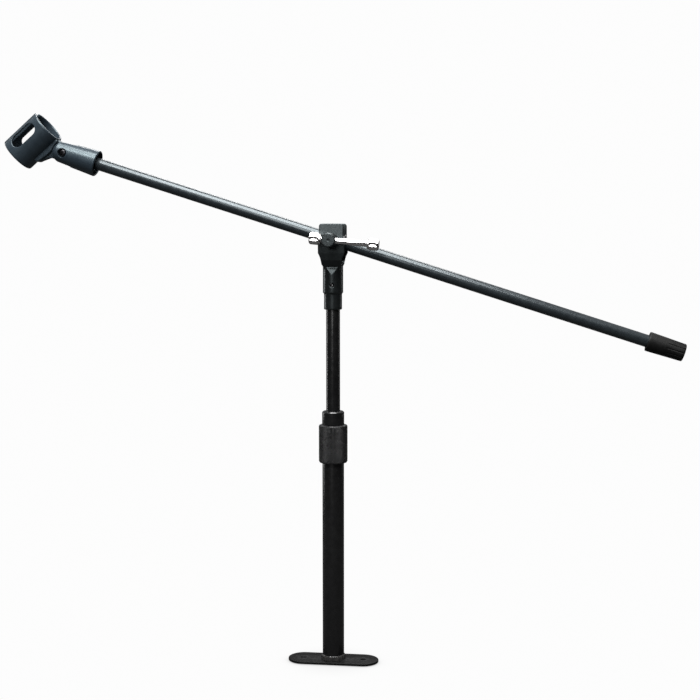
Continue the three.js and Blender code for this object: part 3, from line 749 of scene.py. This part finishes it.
def makeHeadPins():
    pin = {"radius": 2.0, "bore": 1.1, "chamfer": 0.4, "lead": 0.6, "slit": (0.5, 30, 2)}
    low, high = reach("sleeve_pin", standSpace)
    centre = (low.z + high.z) / 2
    nose = pin["radius"] - pin["chamfer"]
    piece = turned("sleevePin", [
        (pin["bore"], low.y), (nose, low.y, 0.1), (pin["radius"], low.y + pin["lead"], 0.2),
        (pin["radius"], high.y - pin["lead"], 0.2), (nose, high.y, 0.1), (pin["bore"], high.y)],
        "Y", 48, (0, 0, centre))
    cutAway(piece, block("pinSlit", pin["slit"], (0, 0, centre + pin["radius"])))
    fit(place(piece, standSpace), darkScrew, "column", "zinc_steel", "sleeve_pin")

    washer = {"inner": 4.4, "round": 0.15}
    for name, node in (("rearWasher", "rear_friction_washer"), ("frontWasher", "front_friction_washer")):
        low, high = reach(node, headSpace)
        piece = pipe(name, washer["inner"], high.x, low.y, high.y, "Y", washer["round"],
                     washer["round"])
        fit(place(piece, headSpace), nylonBare, "column", "nylon", node)

    bolt = {"shank": 4.0, "head": 7.0, "headStart": 17.5, "crown": 1.5, "hex": 2.9, "hexDepth": 2.2,
            "lead": 0.3}
    low, high = reach("pivot_bolt", headSpace)
    piece = turned("pivotBolt", [
        (0, low.y), (bolt["shank"], low.y, 0.4), (bolt["shank"], bolt["headStart"]),
        (bolt["head"], bolt["headStart"], 0.3), (bolt["head"], high.y - bolt["crown"], 0.5),
        (bolt["head"] - bolt["crown"], high.y, 0.6), (0, high.y)], "Y", 96)
    cutAway(piece, turned("hex", [
        (0, high.y - bolt["hexDepth"]), (bolt["hex"], high.y - bolt["hexDepth"]),
        (bolt["hex"], high.y - bolt["lead"]), (bolt["hex"] + bolt["lead"] + over, high.y + over),
        (0, high.y + over)], "Y", 6))
    fit(place(piece, headSpace), zincPlate, "column", "zinc_steel", "pivot_bolt")


def makeDrum():
    drum = {"bore": 8.5, "screwHole": 4.3, "rearHole": 9.4, "voxel": 0.4, "passes": 3}
    radius, start, stop = barrel("swivel_drum", boomSpace, "Y")
    piece = rod("swivelDrum", radius, start, stop, "Y", 128)
    cutAway(piece, drill("drumBore", drum["bore"], "X", 96),
            rod("frontHole", drum["screwHole"], -20, 0, "Y"),
            rod("rearHole", drum["screwHole"], drum["rearHole"], 20, "Y"))
    soften(piece, drum["voxel"], drum["passes"])
    fit(place(piece, boomSpace, 0), castPaint, "drum", "cast_black", "swivel_drum")

    liner = {"inner": 7.3, "outer": 8.2, "lip": 1.2, "slit": (60, 6, 1.6), "slitDown": 0.8}
    low, high = reach("bore_liner", boomSpace)
    inner, outer, lip, flange = liner["inner"], liner["outer"], liner["lip"], high.y
    piece = turned("boreLiner", [
        (inner, low.x, 0.2), (flange, low.x, 0.3), (flange, low.x + lip, 0.3), (outer, low.x + lip),
        (outer, high.x - lip), (flange, high.x - lip, 0.3), (flange, high.x, 0.3), (inner, high.x, 0.2)],
        "X", 96)
    cutAway(piece, block("linerSlit", liner["slit"], (0, flange - liner["slitDown"], 0)))
    fit(place(piece, boomSpace), nylonBlack, "liner", "nylon", "bore_liner")

    low, high = reach("pressure_pad", headSpace)
    piece = turned("pressurePad", [(0, low.y), (high.x, low.y, 0.3), (high.x, high.y, 0.3), (0, high.y)],
                   "Y", 64)
    fit(place(piece, headSpace), nylonBare, "pad", "nylon", "pressure_pad")


makeHead()
makeHeadPins()
makeDrum()
print("head made")


# clamp screw and sliding bar

def makeClamp():
    hub = {"shank": 4.0, "tipRadius": 3.0, "tipLength": 0.8, "hubStart": -18.2, "hubRadius": 8.0,
           "shoulder": 2.5, "neck": 2, "faceIn": 0.7, "faceDown": 0.8, "dimple": 1.6, "dimpleDepth": 0.5,
           "pitch": 1.25, "threadDepth": 0.6, "barHole": 3.8, "voxel": 0.27, "passes": 4}
    low, high = reach("clamp_screw", clampSpace)
    barLow, barHigh = reach("tommy_bar", clampSpace)
    barPlane = (barLow.y + barHigh.y) / 2
    start, radius = hub["hubStart"], hub["hubRadius"]
    body = turned("clampHub", [
        (0, low.y + hub["dimpleDepth"]), (hub["dimple"], low.y, 0.3),
        (radius - hub["faceIn"], low.y, 0.5), (radius, low.y + hub["faceDown"], 0.6),
        (radius, start - hub["shoulder"], 1.0),
        (radius - hub["neck"], start, 0.6), (0, start)], "Y", 128)
    cutAway(body, drill("barHole", hub["barHole"], "X", shift=(0, barPlane, 0)))
    soften(body, hub["voxel"], hub["passes"])
    fit(place(body, clampSpace, 0), castPaint, "clamp", "cast_black", "clamp_screw")

    shank, threadEnd = hub["shank"], high.y - hub["tipLength"]
    profile = [(0, start), (shank, start), *threadPoints(shank, start + 0.3, threadEnd, hub["pitch"]),
               (hub["tipRadius"], high.y), (0, high.y)]
    screw = newObject("clampScrew", turnedMesh(profile, "Y", 72, ripple=threadRipple(
        hub["pitch"], hub["threadDepth"], start + 0.4, threadEnd, shank - 0.05)))
    fit(place(screw, clampSpace), zincPlate, "clamp", "cast_black", "clamp_screw")
    return barPlane


def makeBar(barPlane):
    # shoulder holds pairs: how far in from the full radius, how far along
    bar = {"radius": 3.5, "edge": 0.6, "collar": 6.0, "collarLength": 1.8, "collarEdge": 0.5,
           "waist": 5.4, "waistRun": 0.6, "shoulder": ((0.8, 0.2), (0.2, 0.7), (0, 1.4)), "flutes": 10,
           "fluteDepth": 0.7, "fluteFade": 1.5, "crown": 2.6, "hole": 3.8}
    start, stop = barrel("tommy_bar", clampSpace, "X")[1:]
    piece = turned("tommyBar", [
        (0, start), (bar["radius"], start, bar["edge"]), (bar["radius"], stop, bar["edge"]), (0, stop)],
        "X", 96, (0, barPlane, 0))
    fit(place(piece, clampSpace), chromePlate, "t_bar", "chrome", "tommy_bar")

    collar, edge, crown, hole = bar["collar"], bar["collarEdge"], bar["crown"], bar["hole"]
    shoulderEnd = bar["shoulder"][-1][1]
    for name, node, side in (("barEndLeft", "bar_end_left", -1), ("barEndRight", "bar_end_right", 1)):
        low, high = reach(node, clampSpace)
        inner, outer = (low.x, high.x) if side > 0 else (-high.x, -low.x)
        full = (high.z - low.z) / 2
        barStop = (stop if side > 0 else -start) + clearance
        headStart = inner + bar["collarLength"]
        body = [(hole, inner), (collar - edge, inner), (collar, inner + edge),
                (collar, headStart - bar["waistRun"]), (bar["waist"], headStart)]
        body += [(full - inset, headStart + along) for inset, along in bar["shoulder"]]
        body += [(full, headStart + shoulderEnd + k)
                 for k in range(1, int(outer - headStart - crown - shoulderEnd))]
        body += [(full - crown + crown * math.cos(a), outer - crown + crown * math.sin(a))
                 for a in (math.pi / 2 * k / 6 for k in range(7))]
        body += [(0, outer), (0, barStop), (hole, barStop)]

        def flute(angle, r, height):
            if r < collar + 0.2 or height < headStart:
                return r
            fade = min(1, (height - headStart) / bar["fluteFade"])
            wave = abs(math.sin(angle * bar["flutes"] / 2)) ** 0.6
            return r - bar["fluteDepth"] * fade * wave * (r / full)

        piece = newObject(name, turnedMesh(body, "X", 240, ripple=flute))
        if side < 0:
            piece.data.transform(Matrix.Rotation(math.pi, 4, "Z"))
        piece.data.transform(Matrix.Translation((0, barPlane, 0)))
        fit(place(piece, clampSpace, 38), chromePlate, "t_bar", "chrome", node)


makeBar(makeClamp())
print("clamp made")


# boom

def makeBoom():
    makeTube("boomTube", "boom_tube", boomSpace, "X", 1.2, boomPaint, "boom", "tube_black")

    stub = {"thread": 4.7, "lead": 0.6, "plug": 5.5, "plugEdge": 0.5, "pitch": 0.94, "depth": 0.5}
    low, high = reach("boom_thread_stub", boomSpace)
    tubeRadius, tubeStart, tubeStop = barrel("boom_tube", boomSpace, "X")
    thread, plug, edge = stub["thread"], stub["plug"], stub["plugEdge"]
    shoulder = tubeStart - clearance
    threadStart, threadStop = low.x + stub["lead"], shoulder - stub["lead"]
    profile = [(0, low.x), (thread - stub["lead"], low.x),
               *threadPoints(thread, threadStart, threadStop, stub["pitch"]), (thread, shoulder),
               (plug, shoulder), (plug, high.x - edge), (plug - edge, high.x), (0, high.x)]
    piece = newObject("boomThreadStub", turnedMesh(profile, "X", 72, ripple=threadRipple(
        stub["pitch"], stub["depth"], threadStart, threadStop, thread - 0.05)))
    fit(place(piece, boomSpace), zincPlate, "boom", "zinc_steel", "boom_thread_stub")

    cap = {"small": 10.0, "grooves": 12, "grooveDepth": 0.7, "grooveStart": 0.5, "grooveFade": 0.12,
           "lip": 1.1, "lipIn": 0.25, "lipUp": 0.2, "rimStart": 1.2, "rimDown": 0.5, "dish": 0.9,
           "dishRadius": 6.6, "dishSlope": 0.7, "steps": 34}
    low, high = reach("boom_end_cap", boomSpace)
    start, end, big = low.x, high.x, (high.y - low.y) / 2
    bore, floor = tubeRadius + clearance, tubeStop + clearance
    small, lip, lipIn, steps = cap["small"], cap["lip"], cap["lipIn"], cap["steps"]
    taper = end - cap["rimStart"] - start - lip
    outer = [(big - lip, start), (big - lipIn, start + cap["lipUp"]), (big, start + lip)]
    outer += [(big + (small - big) * k / steps, start + lip + taper * k / steps)
              for k in range(1, steps + 1)]
    outer += [(small - lipIn, end - cap["rimDown"]), (small - lip, end), (cap["dishRadius"], end),
              (cap["dishRadius"] - cap["dishSlope"], end - cap["dish"]), (0, end - cap["dish"])]

    def groove(angle, r, height):
        along = (height - start) / (end - start)
        if r < small - cap["rimStart"] or along < cap["grooveStart"]:
            return r
        wave = max(0.0, math.cos(angle * cap["grooves"])) ** 4
        fade = min(1, (along - cap["grooveStart"]) / cap["grooveFade"])
        return r - cap["grooveDepth"] * wave * fade ** 0.5

    piece = newObject("boomEndCap", turnedMesh([(bore, start)] + outer + [(0, floor), (bore, floor)],
                                               "X", 256, ripple=groove))
    fit(place(piece, boomSpace, 40), capRubber, "boom", "cap_rubber", "boom_end_cap")


makeBoom()
print("boom made")


# microphone clip

def makeClipBase():
    # distances along the boom are measured from the tilt axis, towards the boom's lower end
    base = {"left": -341.9, "small": 12.4, "big": 15.2, "neckRise": 3, "neckRun": 4, "mouthRun": 1,
            "mouthIn": 0.9, "ear": 12.45, "earRun": 14, "earGrow": 1.27, "hollow": 13.0, "recess": 5.5,
            "insertRadius": 9.3, "forkSlot": (40, 9.4, 60), "forkFloor": -318.5, "screwHole": 2.8,
            "headPocket": 5.2, "nutPocket": 5.1, "pocketFloor": 8.2, "voxel": 0.3, "passes": 4}
    right = reach("clip_base", boomSpace)[1].x
    left, small, big = base["left"], base["small"], base["big"]
    pivot = (boomSpace.inverted() @ clipPoint).x
    atPivot = (pivot, 0, 0)
    insertLow, insertHigh = reach("thread_insert", boomSpace)
    piece = turned("clipBase", [
        (0, left), (small - base["neckRise"], left), (small, left + base["neckRun"]),
        (big, right - base["mouthRun"], 0.5), (big - base["mouthIn"], right, 0.4), (0, right)], "X", 128)
    ear, wide, earEnd, beyond = base["ear"], big + over, pivot + base["earRun"], right + 5
    combine(piece, "INTERSECT", slab("ears", arc(pivot, 0, ear, 270, 90, 24) + [
        (earEnd, ear + base["earGrow"]), (earEnd, wide), (beyond, wide),
        (beyond, -wide), (earEnd, -wide), (earEnd, -ear - base["earGrow"])], -30, 30))
    shelf = right - base["recess"]
    hollow = turned("hollow", [(0, shelf), (base["hollow"], shelf, 1.0), (base["hollow"], beyond),
                               (0, beyond)], "X")
    pocket = rod("pocket", base["insertRadius"], insertLow.x - clearance, right, "X", 6)
    forkSlot = block("forkSlot", base["forkSlot"], (base["forkFloor"] - base["forkSlot"][0] / 2, 0, 0))
    screwHole = drill("hole", base["screwHole"], "Y", 48, atPivot)
    headPocket = rod("headPocket", base["headPocket"], -20, -base["pocketFloor"], "Y", 64, atPivot)
    nutPocket = rod("nutPocket", base["nutPocket"], base["pocketFloor"], 20, "Y", 6, atPivot)
    cutAway(piece, hollow, pocket, forkSlot, screwHole, headPocket, nutPocket)
    soften(piece, base["voxel"], base["passes"])
    fit(place(piece, boomSpace, 0), clipMould, "clip_swivel", "clip_plastic", "clip_base")

    insert = {"bore": 4.95, "round": 0.4}
    hexRadius = max(insertHigh.z - insertLow.z, insertHigh.y - insertLow.y) / 2
    piece = turned("threadInsert", [
        (0, insertLow.x), (hexRadius, insertLow.x, insert["round"]),
        (hexRadius, insertHigh.x, insert["round"]), (0, insertHigh.x)], "X", 6)
    cutAway(piece, rod("tap", insert["bore"], insertLow.x - over, insertHigh.x + over, "X"))
    fit(place(piece, boomSpace), brassBare, "clip_swivel", "brass", "thread_insert")


def makeClipScrew():
    # dome gives radius and distance from the head's outer face
    screw = {"shank": 2.5, "head": 4.3, "headStart": -8.5, "dome": ((2.2, 0), (3.1, 0.15), (3.9, 0.6)),
             "rim": 1.2, "crossLong": 4.6, "crossWide": 1.0, "crossDeep": 1.3, "pitch": 0.8,
             "threadDepth": 0.35, "threadFrom": 5.0, "tip": 0.4}
    low, high = reach("clip_pivot_screw", boomSpace)
    atPivot = ((boomSpace.inverted() @ clipPoint).x, 0, 0)
    shank, head, seat, plain = screw["shank"], screw["head"], screw["headStart"], screw["threadFrom"]
    threadStart, threadStop = plain + 0.1, high.y - screw["tip"]
    profile = [(0, low.y), *[(r, low.y + down) for r, down in screw["dome"]],
               (head, low.y + screw["rim"]), (head, seat - 0.1), (head - 0.1, seat), (shank, seat),
               (shank, plain),
               *threadPoints(shank, threadStart, threadStop, screw["pitch"]),
               (shank - screw["tip"], high.y), (0, high.y)]
    piece = newObject("clipPivotScrew", turnedMesh(profile, "Y", 64, atPivot, threadRipple(
        screw["pitch"], screw["threadDepth"], threadStart, threadStop, shank - 0.05)))
    bar, width, deep = screw["crossLong"], screw["crossWide"], 2 * screw["crossDeep"]
    for size in ((bar, deep, width), (width, deep, bar)):
        cutAway(piece, block("cross", size, (atPivot[0], low.y, 0)))
    fit(place(piece, boomSpace), darkScrew, "clip_swivel", "zinc_steel", "clip_pivot_screw")

    nut = {"bore": 2.75, "chamferIn": 0.5, "chamferDown": 0.4, "round": 0.1}
    low, high = reach("clip_pivot_nut", boomSpace)
    radius = max(high.x - low.x, high.z - low.z) / 2
    face, down, soft = radius - nut["chamferIn"], nut["chamferDown"], nut["round"]
    piece = turned("clipPivotNut", [
        (nut["bore"], low.y), (face, low.y, soft), (radius, low.y + down, soft),
        (radius, high.y - down, soft), (face, high.y, soft), (nut["bore"], high.y)], "Y", 6, atPivot)
    toPivot = Matrix.Translation(atPivot)
    piece.data.transform(toPivot @ Matrix.Rotation(math.pi / 6, 4, "Y") @ toPivot.inverted())
    fit(place(piece, boomSpace, 20), zincPlate, "clip_swivel", "zinc_steel", "clip_pivot_nut")


def makeClipBody():
    # the bore runs along local Z; the pivot is the origin; foot is measured from the ring's wall
    clip = {"outer": 20.95, "inner": 18, "outerRound": 1.4, "innerRound": 1.2, "centreX": -36.3,
            "centreZ": -19.5, "half": 25.45, "slotWidth": 10.4, "slotRun": 21, "slotLength": 120,
            "windowLength": 34, "windowHeight": 15, "windowCentre": -43.6, "wallIn": 1.5,
            "foot": ((0, -32), (4, -30)), "rootEdge": [(-11, -17), (-11, -9), (-13.8, 0), (-14.5, 4.2)],
            "webEdge": [(-7.5, -16.5), (-1, -11.5), (-1, 8.4)], "top": 4.5, "eye": 8.95,
            "tongueHalf": 4.4, "neckHalf": 8.5, "screwHole": 2.8, "earRelief": 13.1, "voxel": 0.34,
            "passes": 11, "neckVoxel": 0.5, "neckPasses": 26}
    x, z, half, inner = clip["centreX"], clip["centreZ"], clip["half"], clip["inner"]
    neckHalf, tongueHalf = clip["neckHalf"], clip["tongueHalf"]
    ring = pipe("clipBody", inner, clip["outer"], -half, half, "Z", clip["innerRound"],
                clip["outerRound"], 192, (x, 0, z))
    face = x + inner + clip["wallIn"]
    foot, top = [(face + out, up) for out, up in clip["foot"]], [(face, clip["top"])]
    root = slab("root", foot + clip["rootEdge"] + top, -neckHalf, neckHalf)
    soften(root, clip["neckVoxel"], clip["neckPasses"])   # the neck's root swells out of the ring
    cutAway(root, drill("relief", clip["earRelief"], "Y", 96, half=40))
    web = slab("web", foot + clip["webEdge"] + top, -tongueHalf, tongueHalf)
    eye = rod("eye", clip["eye"], -tongueHalf, tongueHalf, "Y", 96)
    joinOn(ring, root, web, eye)
    windowShape = stadium(clip["windowLength"], clip["windowHeight"], 24)
    windowHole = slab("window", [(b + clip["windowCentre"], a + z) for a, b in windowShape], -40, 40)
    bore = rod("clipBore", inner, z - 60, z + 60, segments=192, shift=(x, 0, 0))
    slot = block("mouthSlot", (clip["slotRun"], clip["slotWidth"], clip["slotLength"]),
                 (x - clip["slotRun"], 0, z))
    cutAway(ring, bore, slot, windowHole, drill("eyeHole", clip["screwHole"], "Y", 48))
    soften(ring, clip["voxel"], clip["passes"])
    fit(place(ring, clipSpace, 0), clipMould, "clip", "clip_plastic", "clip_body")


makeClipBase()
makeClipScrew()
makeClipBody()
print("clip made")


# floor, light and camera

stage = {"floorSize": 9.0, "floorDrop": 0.0006, "floorTone": 0.98, "shadowTone": 0.55,
         "shadowReach": 0.05, "backTone": 0.98, "floorBounce": 0.04, "ground": 0.02, "skyLow": 0.028,
         "skyHigh": 0.5, "horizon": 0.1, "zenith": 0.9}
view = {"azimuth": 8.0, "distance": 1.544, "height": 0.507, "pitch": 5.24, "turn": -0.72, "focal": 1351,
        "imageWidth": 700, "sensor": 36}


def grey(tone):
    return (tone, tone, tone)


def makeFloor():
    # pale and evenly bright, with a painted contact shadow where the glow darkens near the stand; dark when the
    # paint mirrors it
    bm = bmesh.new()
    bmesh.ops.create_grid(bm, x_segments=8, y_segments=8, size=stage["floorSize"])
    floor = newObject("studioFloor", bm)
    material = bpy.data.materials.new("studioFloor")
    material.use_nodes = True
    tree = material.node_tree
    tree.nodes.clear()
    out = tree.nodes.new("ShaderNodeOutputMaterial")
    # painted contact shadow: ambient occlusion mixes the glowing floor's colour down to shadowTone near the stand
    corner = addNode(tree, "ShaderNodeAmbientOcclusion", in_Distance=stage["shadowReach"])
    tone = mixColour(tree, corner.outputs["AO"], grey(stage["shadowTone"]), grey(stage["floorTone"]))
    lit = addNode(tree, "ShaderNodeEmission", in_Color=tone, in_Strength=1.0)
    matte = addNode(tree, "ShaderNodeBsdfDiffuse", in_Color=grey(stage["floorBounce"]))
    path = tree.nodes.new("ShaderNodeLightPath")
    mix = tree.nodes.new("ShaderNodeMixShader")
    sources = (path.outputs["Is Camera Ray"], matte.outputs[0], lit.outputs[0])
    for socket, source in zip(mix.inputs, sources):
        feed(tree, socket, source)
    feed(tree, out.inputs["Surface"], mix.outputs[0])
    floor.data.materials.append(material)
    floor.location.z = -stage["floorDrop"]


def makeWorld():
    # a pale backdrop to look at, and a dim sky over dark ground to light and mirror
    world = bpy.data.worlds.new("studio")
    bpy.context.scene.world = world
    world.use_nodes = True
    tree = world.node_tree
    path = tree.nodes.new("ShaderNodeLightPath")
    where = tree.nodes.new("ShaderNodeTexCoord")
    split = tree.nodes.new("ShaderNodeSeparateXYZ")
    feed(tree, split.inputs[0], where.outputs["Generated"])
    sky = addNode(tree, "ShaderNodeValToRGB", in_Fac=split.outputs["Z"])
    bands = sky.color_ramp.elements
    bands[0].position, bands[1].position = 0.0, stage["zenith"]
    bands[0].color = (*grey(stage["ground"]), 1)
    bands[1].color = (*grey(stage["skyHigh"]), 1)
    bands.new(stage["horizon"]).color = (*grey(stage["skyLow"]), 1)
    colour = mixColour(tree, path.outputs["Is Camera Ray"], sky.outputs["Color"],
                       grey(stage["backTone"]))
    feed(tree, tree.nodes["Background"].inputs["Color"], colour)


def softbox(name, azimuth, elevation, distance, size, power, aim=(0, 0, 0.4)):
    data = bpy.data.lights.new(name, "AREA")
    data.shape = "RECTANGLE"
    data.size, data.size_y = size
    data.energy = power
    lamp = bpy.data.objects.new(name, data)
    bpy.context.scene.collection.objects.link(lamp)
    a, e = math.radians(azimuth), math.radians(elevation)
    out = Vector((math.sin(a) * math.cos(e), -math.cos(a) * math.cos(e), math.sin(e)))
    lamp.location = Vector(aim) + out * distance
    lamp.rotation_euler = out.to_track_quat("Z", "Y").to_euler()


def makeCamera():
    data = bpy.data.cameras.new("camera")
    camera = bpy.data.objects.new("camera", data)
    bpy.context.scene.collection.objects.link(camera)
    data.sensor_width = view["sensor"]
    data.lens = view["focal"] * view["sensor"] / view["imageWidth"]
    a = math.radians(view["azimuth"])
    camera.location = (math.sin(a) * view["distance"], -math.cos(a) * view["distance"], view["height"])
    camera.rotation_euler = (math.radians(90 - view["pitch"]), 0,
                             math.radians(view["azimuth"] + view["turn"]))
    bpy.context.scene.camera = camera


makeFloor()
makeWorld()
softbox("key", -6, 55, 2.0, (1.6, 0.62), 72)
softbox("overhead", 12, 80, 1.7, (1.2, 0.6), 46)
softbox("front", -7, 20, 2.1, (0.4, 1.2), 17, aim=(0, 0, 0.5))
softbox("back", 176, 38, 2.0, (1.2, 0.5), 18, aim=(-0.2, 0, 0.5))
softbox("rimLeft", -112, 6, 1.9, (0.25, 1.4), 8)
softbox("rimRight", 128, 10, 2.2, (0.25, 1.4), 2.5)
makeCamera()
bpy.context.scene.view_settings.view_transform = "Standard"
